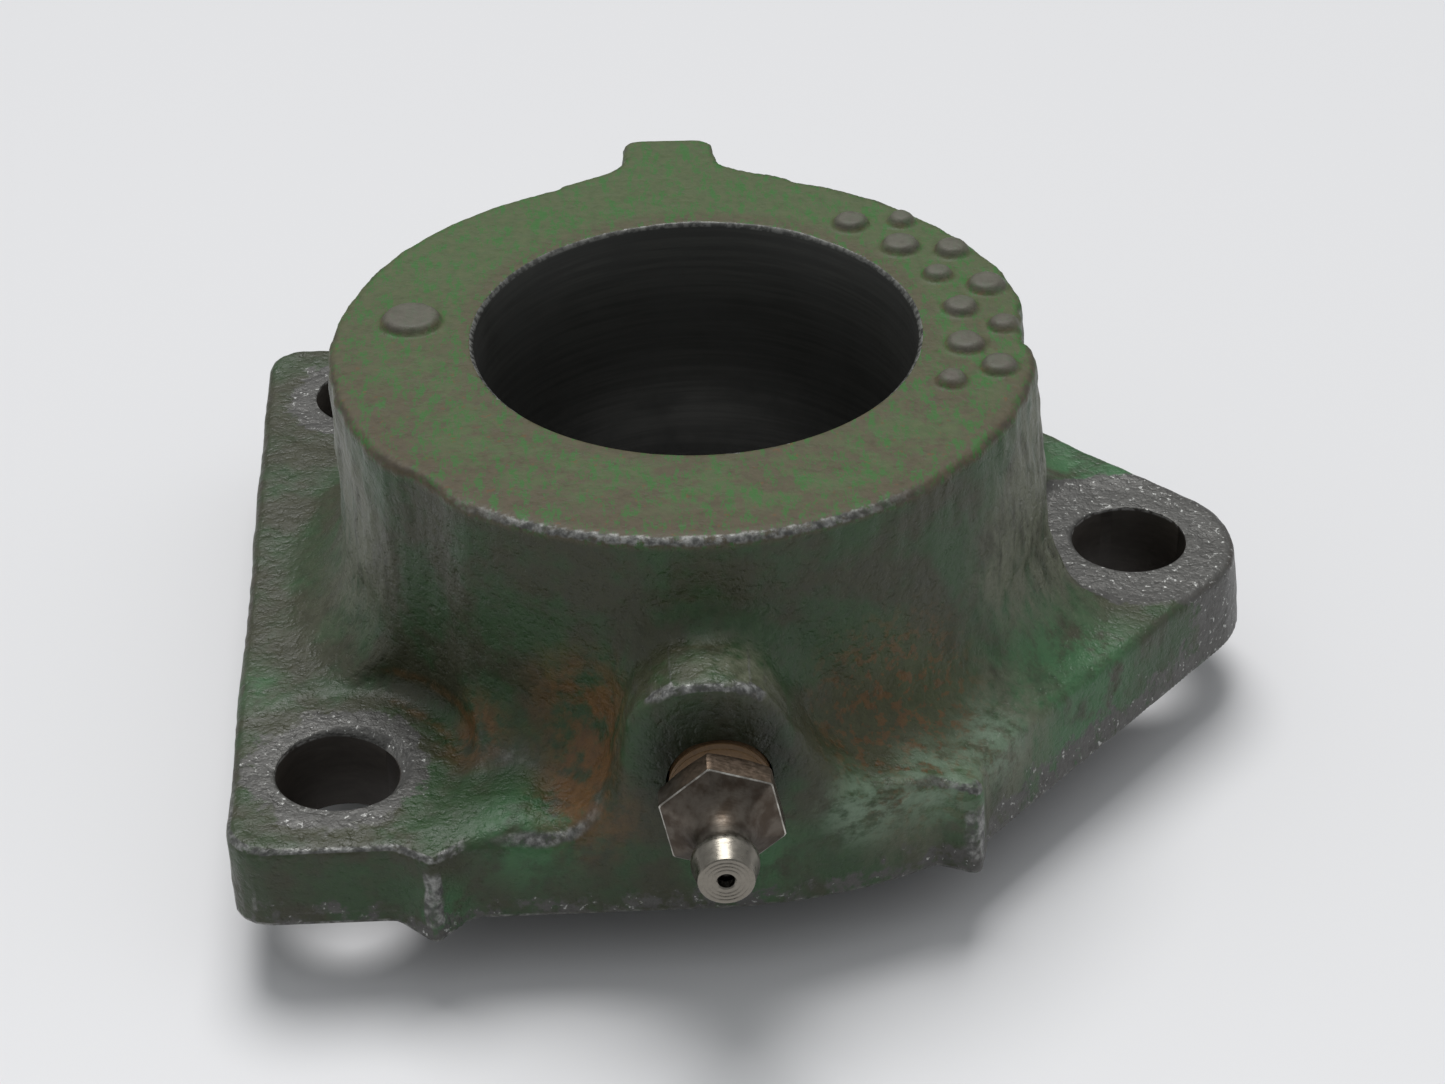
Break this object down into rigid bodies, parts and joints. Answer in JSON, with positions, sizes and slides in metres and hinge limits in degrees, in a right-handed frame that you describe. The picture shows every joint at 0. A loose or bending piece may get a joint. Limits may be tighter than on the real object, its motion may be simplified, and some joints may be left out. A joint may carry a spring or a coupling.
{
  "type": "flange mount bearing housing",
  "caption": "Cast iron flange bearing housing with a plain bore, bolt lugs, a locating tab and a screwed-in grease fitting.",
  "frame": {"origin": "under the middle of the whole part, in the plane of the spigot's end face; the bore's axis stands at x = -4.496 mm, y = 6.243 mm", "axes": "+Z along the bore from the spigot to the hub face, +X from the bore to the single bolt lobe, -Y the way the grease fitting points"},
  "size_m": [0.1096, 0.1134, 0.0452],
  "materials": {
    "housing_paint": "worn dark green paint over rough sand-cast iron, with bare grey wear and rust",
    "fitting_steel": "dull turned steel with a brown tarnish",
    "ball_steel": "polished",
    "spring_steel": "drawn wire"
  },
  "bodies": {
    "bearing": {"housing": "housing_paint", "grease_fitting": "fitting_steel", "ball_spring": "spring_steel"},
    "ball": {"check_ball": "ball_steel"}
  },
  "joints": [
    {"name": "ball_lift", "type": "slide", "parent": "bearing", "child": "ball", "axis": [0, 1, 0], "range_m": [0, 0.0012], "stiffness_N_per_m": 300, "deforming": ["ball_spring"]}
  ]
}
